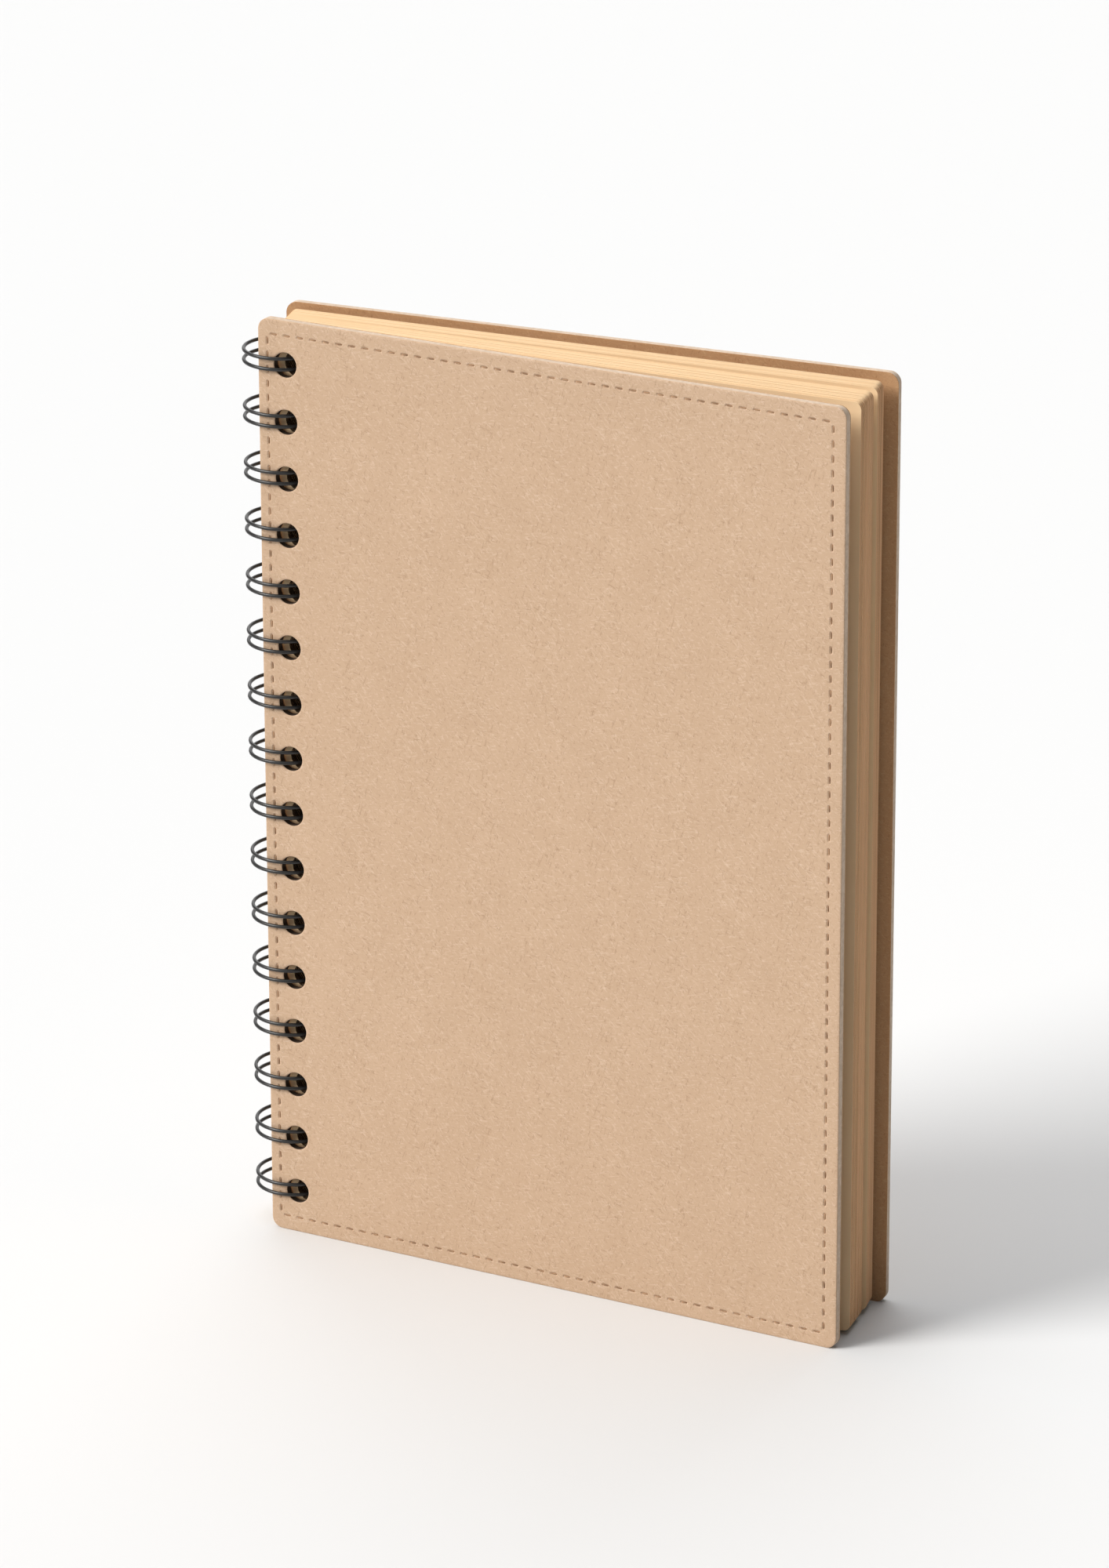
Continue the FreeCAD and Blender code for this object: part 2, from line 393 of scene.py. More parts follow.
@dataclass(frozen=True)
class CoatedWire:
    """Steel wire with a black nylon coat: drawn round, dipped and left satin.

    The eye sees near black with a soft grey line of light along each wire.
    """

    name: str = "black_nylon_coated_wire"
    base: str = "161515"
    worn: str = "232221"
    patch_mm: float = 2.5
    smoothest: float = 0.28
    roughest: float = 0.42
    refraction: float = 1.53
    dip_strength: float = 0.15
    dip_mm: float = 0.02

    def make(self) -> bpy.types.Material:
        """Makes the material."""
        draft = MaterialDraft(self.name)
        patches = draft.noise(draft.place, per_metre(self.patch_mm), 4.0)
        satin = draft.add("ShaderNodeMapRange",
                          {"Value": patches, "To Min": self.smoothest, "To Max": self.roughest})
        return draft.finish({"Base Color": draft.mix(patches, self.base, self.worn),
                             "Roughness": satin.outputs["Result"], "IOR": self.refraction,
                             "Normal": draft.bump(patches, self.dip_strength, self.dip_mm)})


@dataclass(frozen=True)
class CottonThread:
    """Twisted cotton thread: two plies wound together and pulled tight into the paper.

    The eye sees brown dashes with a fine slanting twist and a soft, dry surface.
    """

    name: str = "brown_cotton_thread"
    base: str = "ad8866"
    # painted shade: darker colour for the grooves of the twist
    painted_twist_shade: str = "8a694c"
    twist_mm: float = 7.0
    twist_slant: float = 38.0
    roughness: float = 0.9
    fluff: float = 0.2
    ply_strength: float = 0.6
    ply_mm: float = 0.05

    def make(self) -> bpy.types.Material:
        """Makes the material."""
        draft = MaterialDraft(self.name)
        turned = draft.mapping(draft.place, {"Rotation": (0, math.radians(self.twist_slant), 0)})
        wave = draft.add("ShaderNodeTexWave", {"Vector": turned, "Scale": per_metre(self.twist_mm),
                                               "Distortion": 1.5, "Detail": 2.0})
        plies = wave.outputs["Fac"]
        # painted shade: the low bands of the twist, which the bump sinks, are coloured darker
        return draft.finish({"Base Color": draft.mix(plies, self.painted_twist_shade, self.base),
                             "Normal": draft.bump(plies, self.ply_strength, self.ply_mm),
                             "Roughness": self.roughness, "Sheen Weight": self.fluff})


@dataclass(frozen=True)
class StudioFloor:
    """Matt white paper sweep under the book, which gives an even pale ground."""

    name: str = "white_sweep"
    base: str = "dcddde"
    roughness: float = 0.9

    def make(self) -> bpy.types.Material:
        """Makes the material."""
        draft = MaterialDraft(self.name)
        return draft.finish({"Base Color": linear(self.base), "Roughness": self.roughness})


# ---------------------------------------------------------------- shapes


@dataclass(frozen=True)
class RingAxis:
    """Place of the axis of the wire rings in the frame, in metres."""

    x: float
    y: float

    def place(self, point: Vector, angle: float) -> Vector:
        """Moves a point of the closed book into the frame.

        Args:
            point: Point in millimetres from the ring axis, with the book closed.
            angle: Degrees by which its body has swung open.

        Returns:
            The point in metres in the frame.
        """
        turned = Matrix.Rotation(-math.radians(angle), 3, "Z") @ point
        return turned * MM + Vector((self.x, self.y, 0))


@dataclass
class MeshDraft:
    """Points and faces of a piece, gathered before it becomes a mesh."""

    points: list[Vector] = field(default_factory=list)
    faces: list[tuple[int, ...]] = field(default_factory=list)

    def add(self, points: list[Vector], faces: list[tuple[int, ...]]) -> int:
        """Adds points, and faces that number them from zero.

        Returns:
            Number of the first new point.
        """
        start = len(self.points)
        self.points.extend(points)
        self.faces.extend(tuple(start + index for index in face) for face in faces)
        return start

    def finish(self, name: str, axis: RingAxis, angle: float, material: bpy.types.Material,
               sharp: float = 40.0) -> bpy.types.Object:
        """Makes the object, with smooth faces and its sharp edges marked.

        Args:
            name: Name of the piece.
            axis: Ring axis, which places the points.
            angle: Degrees by which the piece's body has swung open.
            material: Finish of the piece.
            sharp: Angle in degrees above which an edge stays sharp.

        Returns:
            The new object.
        """
        mesh = bpy.data.meshes.new(name)
        mesh.from_pydata([axis.place(point, angle) for point in self.points], [], self.faces)
        mesh.validate()
        mesh.polygons.foreach_set("use_smooth", [True] * len(mesh.polygons))
        mesh.set_sharp_from_angle(angle=math.radians(sharp))
        mesh.materials.append(material)
        piece = bpy.data.objects.new(name, mesh)
        bpy.context.scene.collection.objects.link(piece)
        LOG.info("%s: %d points, %d faces", name, len(mesh.vertices), len(mesh.polygons))
        return piece


@dataclass(frozen=True)
class Outline:
    """Rounded rectangle in the plane of a sheet, in millimetres."""

    left: float
    bottom: float
    width: float
    height: float
    radius: float

    def ring(self, inset: float, steps: int = 10) -> list[Point2]:
        """Points of the outline, moved inwards.

        Args:
            inset: Distance inwards from the true outline.
            steps: Straight steps round each corner.

        Returns:
            Points in anticlockwise order.
        """
        right = self.left + self.width
        top = self.bottom + self.height
        centres = ((right - self.radius, self.bottom + self.radius, -90),
                   (right - self.radius, top - self.radius, 0),
                   (self.left + self.radius, top - self.radius, 90),
                   (self.left + self.radius, self.bottom + self.radius, 180))
        reach = self.radius - inset
        points = []
        for x, z, start in centres:
            for step in range(steps + 1):
                angle = math.radians(start + 90 * step / steps)
                points.append((x + reach * math.cos(angle), z + reach * math.sin(angle)))
        return points


@dataclass(frozen=True)
class Punching:
    """Row of round holes along the spine of a sheet, in millimetres."""

    x: float
    heights: tuple[float, ...]
    radius: float

    def ring(self, height: float, grow: float, steps: int) -> list[Point2]:
        """Points round one hole, anticlockwise, with its radius made larger by grow."""
        reach = self.radius + grow
        angles = [2 * math.pi * step / steps for step in range(steps)]
        return [(self.x + reach * math.cos(angle), height + reach * math.sin(angle)) for angle in angles]

    def holds(self, x: float, z: float) -> bool:
        """Says whether a point lies in one of the holes."""
        return any(math.hypot(x - self.x, z - height) < self.radius for height in self.heights)


@dataclass(frozen=True)
class Stitch:
    """One stitch of the border: its middle, in millimetres, and its direction."""

    x: float
    z: float
    along: Along

    def spot(self, lengthwise: float, across: float) -> Point2:
        """Point beside the middle of the stitch, along it and across it."""
        if self.along is Along.WIDTH:
            return self.x + lengthwise, self.z + across
        return self.x + across, self.z + lengthwise

    def ring(self, length: float, width: float, steps: int = 5) -> list[Point2]:
        """Points of a round-ended slot over the stitch.

        Args:
            length: Overall length of the slot.
            width: Width of the slot.
            steps: Straight steps round each end.

        Returns:
            Points in one direction round the slot.
        """
        reach = width / 2
        middle = length / 2 - reach
        points = []
        for end, start in ((1, -90), (-1, 90)):
            for step in range(steps + 1):
                angle = math.radians(start + 180 * step / steps)
                points.append(self.spot(end * middle + reach * math.cos(angle), reach * math.sin(angle)))
        return points


@dataclass
class SheetFace:
    """Flat face of a sheet that is cut into triangles between level lines.

    Each line of points has one depth under the sheet's outer face, so that nested lines make
    sunk slots, rounded rims and punched holes.
    """

    punching: Punching
    spots: list[Vector] = field(default_factory=list)
    depths: list[float] = field(default_factory=list)
    edges: list[tuple[int, int]] = field(default_factory=list)

    def line(self, ring: list[Point2], depth: float) -> list[int]:
        """Adds a closed line at one depth and returns the numbers of its points."""
        start = len(self.spots)
        numbers = list(range(start, start + len(ring)))
        self.spots.extend(Vector(point) for point in ring)
        self.depths.extend([depth] * len(ring))
        self.edges.extend(zip(numbers, numbers[1:] + numbers[:1]))
        return numbers

    def nest(self, lines: list[tuple[list[Point2], float]]) -> list[int]:
        """Adds closed lines, each with its depth, and returns the point numbers of the last."""
        return [self.line(ring, depth) for ring, depth in lines][-1]

    def dots(self, points: list[Point2]) -> None:
        """Adds loose points at the surface, so that the sheet can bend there."""
        self.spots.extend(Vector(point) for point in points)
        self.depths.extend([0.0] * len(points))

    def triangles(self) -> list[tuple[int, int, int]]:
        """Triangles between all the lines, without those in the holes."""
        cut = delaunay_2d_cdt(self.spots, self.edges, [], TRIANGLES_ONLY, CUT_TOLERANCE)
        _, _, faces, origins, _, _ = cut
        kept = []
        for face in faces:
            corners = tuple(origins[index][0] for index in face)
            middle = sum((self.spots[index] for index in corners), Vector((0, 0))) / 3
            if not self.punching.holds(middle.x, middle.y):
                kept.append(corners)
        return kept


def band(first: list[int], second: list[int]) -> list[tuple[int, ...]]:
    """Faces between two closed lines that have the same number of points."""
    count = len(first)
    return [(first[i], first[(i + 1) % count], second[(i + 1) % count], second[i]) for i in range(count)]


def tube(draft: MeshDraft, path: list[Vector], radii: list[float], sides: int) -> None:
    """Adds a closed round tube along a path, with a frame that doesn't twist.

    Args:
        draft: Draft that gets the tube.
        path: Points of the middle line.
        radii: Radius of the tube at each point.
        sides: Number of faces round the tube.
    """
    rings = []
    points = []
    normal = (path[1] - path[0]).orthogonal().normalized()
    for index, middle in enumerate(path):
        before = path[max(index - 1, 0)]
        after = path[min(index + 1, len(path) - 1)]
        forward = (after - before).normalized()
        normal = (normal - forward * normal.dot(forward)).normalized()
        sideways = forward.cross(normal)
        rings.append(list(range(len(points), len(points) + sides)))
        for side in range(sides):
            angle = 2 * math.pi * side / sides
            points.append(middle + (normal * math.cos(angle) + sideways * math.sin(angle)) * radii[index])
    faces = [tuple(reversed(rings[0])), tuple(rings[-1])]
    for ring, following in zip(rings, rings[1:]):
        faces.extend(band(ring, following))
    draft.add(points, faces)


# ---------------------------------------------------------------- sub-assemblies


@dataclass(frozen=True)
class BookLayout:
    """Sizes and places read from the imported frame, in millimetres unless said otherwise."""

    axis: RingAxis
    wedge: float
    cover_width: float
    cover_height: float
    cover_inside: float
    cover_outside: float
    facing_thickness: float
    front_spine_edge: float
    rear_spine_edge: float
    hole_to_edge: float = 6.6
    hole_pitch: float = 12.7
    hole_radius: float = 2.8
    smallest_margin: float = 6.0
    corner_radius: float = 2.5

    @staticmethod
    def read(frame: dict) -> "BookLayout":
        """Reads the layout from the frame.


        Returns:
            The layout.
        """
        joint = next(joint for joint in frame["joints"] if joint["name"] == COVER_JOINT)
        axis = RingAxis(joint["pos_m"][0], joint["pos_m"][1])
        wedge = -joint["range_deg"][0]
        facing_low, facing_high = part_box("rear_facing")
        lining_low, lining_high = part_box("rear_lining")
        front_low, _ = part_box("front_lining")
        lining_outer = (lining_high[1] - axis.y) / MM
        front_edge = (front_low[0] - axis.x) / MM
        turn = math.radians(wedge)
        return BookLayout(
            axis=axis,
            wedge=wedge,
            cover_width=(facing_high[0] - facing_low[0]) / MM,
            cover_height=(facing_high[2] - facing_low[2]) / MM,
            cover_inside=(lining_low[1] - axis.y) / MM,
            cover_outside=(facing_high[1] - axis.y) / MM,
            facing_thickness=(facing_high[1] - facing_low[1]) / MM,
            front_spine_edge=(front_edge + lining_outer * math.sin(turn)) / math.cos(turn),
            rear_spine_edge=(facing_low[0] - axis.x) / MM)

    @property
    def hole_heights(self) -> tuple[float, ...]:
        """Heights of the holes above the bottom edge of the covers."""
        count = int((self.cover_height - 2 * self.smallest_margin) / self.hole_pitch) + 1
        first = (self.cover_height - (count - 1) * self.hole_pitch) / 2
        return tuple(first + index * self.hole_pitch for index in range(count))

    def hole_line(self, near: float, far: float) -> HoleLine:
        """Strip with all the holes between two distances from the ring axis."""
        middle = self.cover_height * MM / 2
        return HoleLine(self.axis.x + (near + far) / 2 * MM, (far - near) / 2 * MM, middle,
                        middle - self.smallest_margin * MM / 2)


@dataclass
class Cover:
    """One stiff cover: kraft facing over greyboard, lined with kraft, with a stitched border."""

    layout: BookLayout
    side: Side
    rim: float = 0.22
    stitch_pitch: float = 3.175
    head_inset: float = 3.3
    spine_inset: float = 2.3
    fore_inset: float = 3.0
    slot_length: float = 2.0
    slot_width: float = 0.8
    slot_depth: float = 0.2
    slot_levels: tuple[Point2, ...] = ((0.24, 0.0), (0.0, 0.0), (-0.18, 0.35), (-0.38, 0.8),
                                       (-0.56, 1.0))
    rim_lines: tuple[Point2, ...] = ((2.5, 0.0), (1.0, 0.0), (0.3, 0.3), (0.0, 1.0))
    hole_lines: tuple[Point2, ...] = ((2.0, 0.0), (0.8, 0.0), (0.0, 0.6))
    hole_steps: int = 40
    thread_length: float = 1.65
    thread_radius: float = 0.13
    thread_thinning: float = 0.25
    thread_depth: float = 0.13
    thread_dip: float = 0.3
    thread_lean: float = 0.05
    thread_rise: float = 0.02
    thread_steps: int = 8
    thread_sides: int = 8
    thread_seed: int = 20
    smooth_below: float = 60.0

    @property
    def angle(self) -> float:
        """Degrees by which the cover has swung open at rest."""
        return self.layout.wedge if self.side is Side.FRONT else 0.0

    @property
    def body(self) -> str:
        """Body that the cover's pieces ride on."""
        return "front_cover" if self.side is Side.FRONT else "root"

    @property
    def spine_edge(self) -> float:
        """Distance of the cover's spine edge from the ring axis."""
        return self.layout.front_spine_edge if self.side is Side.FRONT else self.layout.rear_spine_edge

    @property
    def outline(self) -> Outline:
        """Outline of the cover."""
        return Outline(self.spine_edge, 0.0, self.layout.cover_width, self.layout.cover_height,
                       self.layout.corner_radius)

    @property
    def punching(self) -> Punching:
        """Holes of the cover."""
        return Punching(self.spine_edge + self.layout.hole_to_edge, self.layout.hole_heights,
                        self.layout.hole_radius)

    def at_depth(self, x: float, z: float, depth: float) -> Vector:
        """Point under the cover's outer face, in the closed book."""
        return Vector((x, self.side.value * (self.layout.cover_outside - depth), z))

    def stitches(self) -> list[Stitch]:
        """Stitches of the border, evenly spaced between its corners."""
        left = self.spine_edge + self.spine_inset
        right = self.spine_edge + self.layout.cover_width - self.fore_inset
        bottom = self.head_inset
        top = self.layout.cover_height - self.head_inset
        across = round((right - left) / self.stitch_pitch)
        upright = round((top - bottom) / self.stitch_pitch)
        made = []
        for index in range(across):
            x = left + (right - left) * (index + 0.5) / across
            made.extend([Stitch(x, bottom, Along.WIDTH), Stitch(x, top, Along.WIDTH)])
        for index in range(upright):
            z = bottom + (top - bottom) * (index + 0.5) / upright
            made.extend([Stitch(left, z, Along.HEIGHT), Stitch(right, z, Along.HEIGHT)])
        return made

    def add_facing(self, material: bpy.types.Material) -> bpy.types.Object:
        """Builds the facing, with soft rims, punched holes and a sunk slot under each stitch.

        Rim and hole lines hold the distance from the cut edge and the depth, in rim sizes. Slot
        levels hold the growth in millimetres and the depth as a part of the slot's depth.
        """
        face = SheetFace(self.punching)
        rim = self.rim
        rims = [face.nest([(self.outline.ring(inset * rim), sunk * rim)
                           for inset, sunk in self.rim_lines])]
        for height in self.punching.heights:
            rims.append(face.nest([(self.punching.ring(height, grow * rim, self.hole_steps), sunk * rim)
                                   for grow, sunk in self.hole_lines]))
        for stitch in self.stitches():
            face.nest([(stitch.ring(self.slot_length + grow, self.slot_width + grow),
                        sunk * self.slot_depth) for grow, sunk in self.slot_levels])
        triangles = face.triangles()
        if self.side is Side.REAR:
            triangles = [tuple(reversed(triangle)) for triangle in triangles]
        draft = MeshDraft()
        draft.add([self.at_depth(spot.x, spot.y, depth) for spot, depth in zip(face.spots, face.depths)],
                  triangles)
        self.close_back(draft, face, rims)
        return draft.finish(f"{self.side.word}_kraft_facing", self.layout.axis, self.angle, material)

    def close_back(self, draft: MeshDraft, face: SheetFace, rims: list[list[int]]) -> None:
        """Adds the cut walls and the glued back of the facing.

        Args:
            draft: Draft that has the outer face already.
            face: The outer face.
            rims: Numbers of the points along each cut edge, with the outline first.
        """
        back = SheetFace(self.punching)
        lines = [back.line([tuple(face.spots[index]) for index in rim], 0.0) for rim in rims]
        triangles = back.triangles()
        if self.side is Side.FRONT:
            triangles = [tuple(reversed(triangle)) for triangle in triangles]
        thickness = self.layout.facing_thickness
        start = draft.add([self.at_depth(spot.x, spot.y, thickness) for spot in back.spots], triangles)
        for number, (rim, line) in enumerate(zip(rims, lines)):
            lower = [start + index for index in line]
            outer = number == 0
            flip = outer is (self.side is Side.FRONT)
            draft.faces.extend(band(lower, rim) if flip else band(rim, lower))

    def add_thread(self, material: bpy.types.Material) -> bpy.types.Object:
        """Builds the stitches as short threads that dip into the cover at both ends."""
        chance = random.Random(self.thread_seed + self.side.value)
        draft = MeshDraft()
        parts = [2 * step / self.thread_steps - 1 for step in range(self.thread_steps + 1)]
        radii = [self.thread_radius * (1 - self.thread_thinning * abs(part) ** 3) for part in parts]
        for stitch in self.stitches():
            lean = chance.uniform(-self.thread_lean, self.thread_lean)
            rise = chance.uniform(-self.thread_rise, self.thread_rise)
            path = []
            for part in parts:
                x, z = stitch.spot(part * self.thread_length / 2, lean * part)
                path.append(self.at_depth(x, z, self.thread_depth + rise + self.thread_dip * part ** 4))
            tube(draft, path, radii, self.thread_sides)
        return draft.finish(f"{self.side.word}_border_thread", self.layout.axis, self.angle, material,
                            self.smooth_below)

    def build(self, facing: bpy.types.Material, thread: bpy.types.Material) -> None:
        """Builds the cover's new pieces and joins them to the frame.

        Args:
            facing: Finish of the kraft facing.
            thread: Finish of the border's thread.
        """
        sheet = self.add_facing(facing)
        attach(sheet, self.body)
        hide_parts(f"{self.side.word}_facing")
        border = self.add_thread(thread)
        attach(border, self.body)
        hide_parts(f"{self.side.word}_stitching")


@dataclass(frozen=True)
class LeafSizes:
    """Sizes of the drawing leaves, in millimetres."""

    per_pack: int = 3
    thickness: float = 0.14
    pitch: float = 0.17
    width: float = 135.9
    head_recess: float = 1.0
    corner_radius: float = 1.6
    hole_radius: float = 3.0
    hole_margin: float = 4.7

    def back(self, front: float) -> float:
        """Place of a pack's back face, from the place of its front face."""
        return front + (self.per_pack - 1) * self.pitch + self.thickness


@dataclass
class LeafPack:
    """Leaves that turn together: thin sheets with small differences in trim and lie."""

    layout: BookLayout
    sizes: LeafSizes
    node: str
    body: str
    angle: float
    front: float
    spine_edge: float
    fore_edge: float
    hole_x: float
    trim_spread: float = 0.08
    wave: float = 0.1
    wave_count: float = 1.3
    phase_spread: float = 0.06
    corner_steps: int = 7
    hole_steps: int = 18
    columns: int = 9
    rows: int = 12
    first_column: float = 14.0
    spare_width: float = 16.0

    def lie(self, spot: Vector, phase: float) -> float:
        """Distance by which a leaf lies out of its flat plane, which is most at its fore edge."""
        outwards = max(spot.x - self.hole_x, 0.0) / (self.fore_edge - self.hole_x)
        turns = self.wave_count * spot.y / self.layout.cover_height
        return self.wave * outwards ** 2 * math.sin(2 * math.pi * turns + phase)

    def add_leaf(self, draft: MeshDraft, leaf: int, phase: float, chance: random.Random) -> None:
        """Adds one leaf to the pack.

        Args:
            draft: Draft of the pack.
            leaf: Leaf's number from the front of the pack.
            phase: Phase of the pack's wave.
            chance: Source of the leaf's small differences.
        """
        sizes = self.sizes
        trim_x = chance.uniform(-self.trim_spread, self.trim_spread)
        trim_z = chance.uniform(-self.trim_spread, self.trim_spread)
        height = self.layout.cover_height - 2 * sizes.head_recess
        width = self.fore_edge + trim_x - self.spine_edge
        outline = Outline(self.spine_edge, sizes.head_recess + trim_z, width, height, sizes.corner_radius)
        punching = Punching(self.hole_x, self.layout.hole_heights, sizes.hole_radius)
        face = SheetFace(punching)
        lines = [face.line(outline.ring(0.0, self.corner_steps), 0.0)]
        for hole in punching.heights:
            lines.append(face.line(punching.ring(hole, 0.0, self.hole_steps), 0.0))
        reach = self.fore_edge - self.spare_width
        columns = [self.first_column + reach * number / self.columns for number in range(1, self.columns)]
        rows = [sizes.head_recess + height * number / self.rows for number in range(1, self.rows)]
        face.dots([(x, z) for x in columns for z in rows])
        triangles = face.triangles()
        near = self.front + leaf * sizes.pitch
        own = phase + chance.uniform(-self.phase_spread, self.phase_spread)

        def layer(y: float) -> list[Vector]:
            return [Vector((spot.x, y + self.lie(spot, own), spot.y)) for spot in face.spots]

        first = draft.add(layer(near), triangles)
        turned = [tuple(reversed(corners)) for corners in triangles]
        second = draft.add(layer(near + sizes.thickness), turned)
        for index, line in enumerate(lines):
            upper = [first + point for point in line]
            lower = [second + point for point in line]
            draft.faces.extend(band(lower, upper) if index == 0 else band(upper, lower))

    def build(self, paper: bpy.types.Material, seed: int, phase: float) -> None:
        """Builds the pack and joins it to the frame.

        Args:
            paper: Finish of the leaves.
            seed: Number that fixes the pack's small differences.
            phase: Phase of the pack's wave, close to its neighbours', so that the closed leaves nest.
        """
        chance = random.Random(seed)
        draft = MeshDraft()
        for leaf in range(self.sizes.per_pack):
            self.add_leaf(draft, leaf, phase, chance)
        leaves = draft.finish(self.node.replace("pack", "sheets"), self.layout.axis, self.angle, paper)
        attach(leaves, self.body)
        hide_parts(self.node)


@dataclass
class LeafBlock:
    """All the leaves of the book, as packs that fan out behind the front cover.

    The wire reach is the distance from the ring axis within which the holes leave room for the wire.
    """

    layout: BookLayout
    frame: dict
    sizes: LeafSizes = LeafSizes()
    front_clearance: float = 0.25
    wire_reach: float = 9.4
    phase_step: float = 0.1
    first_seed: int = 300

    def build(self, paper: bpy.types.Material) -> None:
        """Builds every pack at the angle that its coupling to the cover gives."""
        behaviour = self.frame["record"]["behaviour"]
        children = {joint["name"]: joint["child"] for joint in self.frame["joints"]}
        for index, coupling in enumerate(behaviour["couplings"]):
            body = children[coupling["joint"]]
            node = behaviour["bodies"][body][0]
            angle = coupling["ratio"] * self.layout.wedge
            front = (self.front_clearance - self.layout.cover_inside
                     + index * self.sizes.per_pack * self.sizes.pitch)
            fore_edge = self.fore_edge(node, front, angle)
            spine_edge = fore_edge - self.sizes.width
            pack = LeafPack(self.layout, self.sizes, node, body, angle, front, spine_edge, fore_edge,
                            self.hole_place(spine_edge, front))
            pack.build(paper, self.first_seed + index, index * self.phase_step)

    def hole_place(self, spine_edge: float, front: float) -> float:
        """Distance of a pack's holes from the ring axis, with room for the wire in them.

        Args:
            spine_edge: Distance of the pack's spine edge from the ring axis.
            front: Place of the pack's front face in the closed book.

        Returns:
            The distance in millimetres.
        """
        back = self.sizes.back(front)
        nearest = 0.0 if front < 0 < back else min(abs(front), abs(back))
        wire = math.sqrt(self.wire_reach ** 2 - nearest ** 2)
        return max(spine_edge + self.sizes.hole_margin, wire - self.sizes.hole_radius)

    def fore_edge(self, node: str, front: float, angle: float) -> float:
        """Distance of a pack's fore edge from the ring axis, measured along its leaves.

        Args:
            node: Name of the pack's node.
            front: Place of the pack's front face in the closed book.
            angle: Degrees by which the pack has swung open.

        Returns:
            The distance in millimetres.
        """
        reach = (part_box(node)[1][0] - self.layout.axis.x) / MM
        turn = math.radians(angle)
        return (reach - self.sizes.back(front) * math.sin(turn)) / math.cos(turn)


@dataclass
class TwinLoopWire:
    """Binding wire: one wire bent into a narrow loop for each hole, with straight links."""

    layout: BookLayout
    ring_radius: float = 8.625
    wire_radius: float = 0.4
    spacing: float = 2.4
    bend: float = 0.8
    stub: float = 1.0
    wire_clearance: float = 0.15
    seam_gap: float = 0.3
    ring_steps: int = 84
    elbow_steps: int = 5
    nose_steps: int = 12
    sides: int = 14
    smooth_below: float = 60.0

    def on_ring(self, angle: float, height: float) -> Vector:
        """Point of the ring circle, with the angle from +X in radians."""
        return Vector((self.ring_radius * math.cos(angle), self.ring_radius * math.sin(angle), height))

    def path(self) -> list[Vector]:
        """Middle line of the whole wire, from its lower end to its upper end."""
        seam = self.layout.cover_inside - self.wire_clearance - self.wire_radius
        link_angle = math.asin(seam / self.ring_radius)
        base = link_angle + self.bend / self.ring_radius
        reach = self.spacing / 2 + 2 * self.wire_radius + self.seam_gap
        tip = link_angle + 2 * math.pi - reach / self.ring_radius
        out = Vector((-math.sin(base), math.cos(base), 0))
        link = self.on_ring(base, 0) - out * self.bend
        points = []
        first = self.layout.hole_heights[0] - self.spacing / 2 - self.bend - self.stub
        points.append(Vector((link.x, link.y, first)))
        for height in self.layout.hole_heights:
            lower = height - self.spacing / 2
            upper = height + self.spacing / 2
            points.extend(self.elbow(link, out, lower, -1))
            points.extend(self.ring_arc(base, tip, lower))
            points.extend(self.nose(tip, height))
            points.extend(self.ring_arc(tip, base, upper))
            points.extend(self.elbow(link, out, upper, 1))
        points.append(points[-1] + Vector((0, 0, self.stub)))
        return points

    def ring_arc(self, start: float, end: float, height: float) -> list[Vector]:
        """Points along the ring between two angles, with both ends."""
        steps = self.ring_steps
        return [self.on_ring(start + (end - start) * step / steps, height) for step in range(steps + 1)]

    def elbow(self, link: Vector, out: Vector, height: float, way: int) -> list[Vector]:
        """Quarter bend between a link and a ring, below the ring (-1) or above it (1)."""
        made = []
        for step in range(self.elbow_steps):
            turn = math.radians(90 * step / self.elbow_steps)
            spot = link + out * self.bend * (1 - math.cos(turn))
            made.append(Vector((spot.x, spot.y, height + way * self.bend * (1 - math.sin(turn)))))
        return made if way < 0 else made[::-1]

    def nose(self, tip: float, height: float) -> list[Vector]:
        """Half-round tip that joins the two wires of a loop."""
        reach = self.spacing / 2
        forward = Vector((-math.sin(tip), math.cos(tip), 0)) * reach
        made = []
        for step in range(1, self.nose_steps):
            turn = math.pi * step / self.nose_steps
            made.append(self.on_ring(tip, height - reach * math.cos(turn)) + forward * math.sin(turn))
        return made

    def build(self, coat: bpy.types.Material) -> None:
        """Builds the wire and joins it to the frame."""
        path = self.path()
        draft = MeshDraft()
        tube(draft, path, [self.wire_radius] * len(path), self.sides)
        wire = draft.finish("twin_loop_wire", self.layout.axis, 0.0, coat, self.smooth_below)
        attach(wire, "root")
        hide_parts("binding_wire")


@dataclass(frozen=True)
class SkyLight:
    """Far, wide, soft light, which lights the whole sweep evenly.

    Its strength is in watts per square metre, and its softness is its width in the sky in degrees.
    """

    name: str
    towards: tuple[float, float, float]
    strength: float
    softness: float
    tint: str = "ffffff"
    marker_distance: float = 2.0

    def add(self) -> None:
        """Adds the light."""
        towards = Vector(self.towards)
        data = bpy.data.lights.new(self.name, "SUN")
        data.energy = self.strength
        data.angle = math.radians(self.softness)
        data.color = linear(self.tint)[:3]
        light = bpy.data.objects.new(self.name, data)
        light.location = towards.normalized() * self.marker_distance
        light.rotation_mode = "QUATERNION"
        light.rotation_quaternion = towards.to_track_quat("Z", "Y")
        bpy.context.scene.collection.objects.link(light)


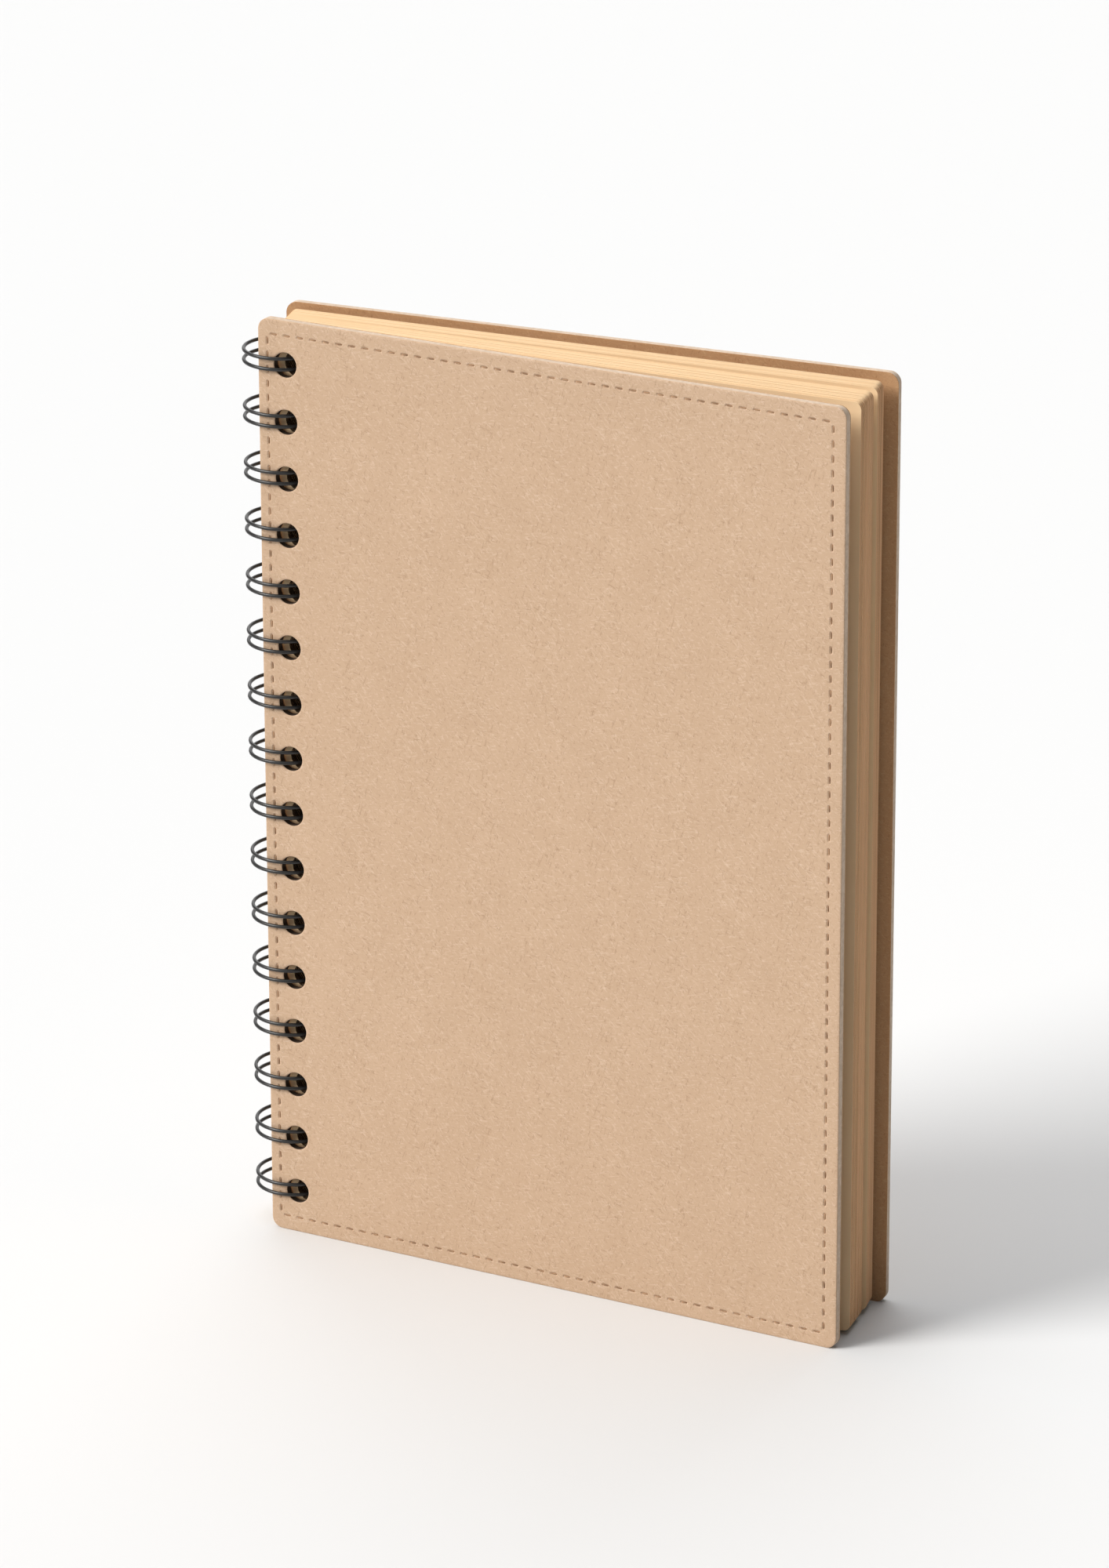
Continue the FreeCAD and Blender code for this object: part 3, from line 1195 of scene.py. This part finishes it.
@dataclass
class Studio:
    """White sweep, soft lights and the camera, with distances in metres and angles in degrees."""

    azimuth: float = 23.27
    elevation: float = 19.93
    roll: float = -0.14
    distance: float = 1.5747
    target_sideways: float = 0.0008
    target_height: float = 0.11335
    lens: float = 169.1
    farthest_view: float = 20.0
    floor_reach: float = 12.0
    ambient: float = 0.1
    lights: tuple[SkyLight, ...] = (
        SkyLight("key", towards=(-1.5, -1.45, 1.4), strength=3.2, softness=28.0, tint="fffcf8"),
        SkyLight("overhead", towards=(-0.25, 0.1, 1.0), strength=1.9, softness=70.0),
        SkyLight("rear_fill", towards=(-0.5, 1.4, 0.6), strength=0.9, softness=60.0))

    def add_floor(self, material: bpy.types.Material) -> None:
        """Adds the floor, which isn't part of the object."""
        mesh = bpy.data.meshes.new("sweep")
        reach = self.floor_reach
        corners = [(-reach, -reach, 0), (reach, -reach, 0), (reach, reach, 0), (-reach, reach, 0)]
        mesh.from_pydata(corners, [], [(0, 1, 2, 3)])
        mesh.materials.append(material)
        floor = bpy.data.objects.new("sweep", mesh)
        bpy.context.scene.collection.objects.link(floor)

    def add_camera(self) -> None:
        """Adds the camera."""
        turn = math.radians(self.azimuth)
        lift = math.radians(self.elevation)
        sideways = Vector((math.cos(turn), math.sin(turn), 0))
        ahead = Vector((math.sin(turn), -math.cos(turn), 0))
        back = ahead * math.cos(lift) + Vector((0, 0, math.sin(lift)))
        target = sideways * self.target_sideways + Vector((0, 0, self.target_height))
        data = bpy.data.cameras.new("camera")
        data.lens = self.lens
        data.clip_end = self.farthest_view
        camera = bpy.data.objects.new("camera", data)
        camera.location = target + back * self.distance
        look = (-back).to_track_quat("-Z", "Y")
        rolled = Matrix.Rotation(math.radians(self.roll), 4, back) @ look.to_matrix().to_4x4()
        camera.rotation_mode = "QUATERNION"
        camera.rotation_quaternion = rolled.to_quaternion()
        bpy.context.scene.collection.objects.link(camera)
        bpy.context.scene.camera = camera

    def build(self) -> None:
        """Builds the stage."""
        world = bpy.data.worlds.new("studio")
        world.use_nodes = True
        background = world.node_tree.nodes["Background"]
        background.inputs["Color"].default_value = linear("ffffff")
        background.inputs["Strength"].default_value = self.ambient
        bpy.context.scene.world = world
        bpy.context.scene.view_settings.view_transform = "Standard"
        self.add_floor(StudioFloor().make())
        for light in self.lights:
            light.add()
        self.add_camera()


@dataclass
class Sketchbook:
    """The whole book."""

    frame: dict
    # strips, in mm from the ring axis, where the hole walls get painted shade
    leaf_holes: Point2 = (2.0, 10.0)
    board_holes: Point2 = (0.5, 9.0)

    def build(self) -> None:
        """Builds every sub-assembly and dresses the pieces that the frame keeps."""
        layout = BookLayout.read(self.frame)
        kraft = KraftPaper("kraft_facing_paper", base="c8ab90", cloud="bc9f84", pale_fibre="d9c1aa",
                           dark_fibre="9c7e62").make()
        # painted shade: the lining is the same kraft as the facing, made darker to stand in for the shade
        # on the inner faces
        shaded_lining = KraftPaper("kraft_lining_paper_painted_shade", base="bf9771", cloud="b08862", pale_fibre="cba882",
                            dark_fibre="936a47").make()
        thread = CottonThread().make()
        for side in Side:
            Cover(layout, side).build(kraft, thread)
        LeafBlock(layout, self.frame).build(DrawingPaper(layout.hole_line(*self.leaf_holes)).make())
        TwinLoopWire(layout).build(CoatedWire().make())
        board = GreyBoard(layout.hole_line(*self.board_holes)).make()
        for side in Side:
            self.dress(f"{side.word}_board", board)
            # the linings get the darker kraft, which is painted shade
            self.dress(f"{side.word}_lining", shaded_lining)

    def dress(self, node: str, material: bpy.types.Material) -> None:
        """Gives a piece of the frame its finish."""
        piece = self.frame["nodes"][node]
        for slot in piece.material_slots:
            slot.material = material
        LOG.info("%s: dressed in %s", node, material.name)


def main() -> None:
    """Builds the book on its stage."""
    logging.basicConfig(level=logging.INFO, format="%(message)s")
    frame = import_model()
    Sketchbook(frame).build()
    Studio().build()


if __name__ == "__main__":
    main()
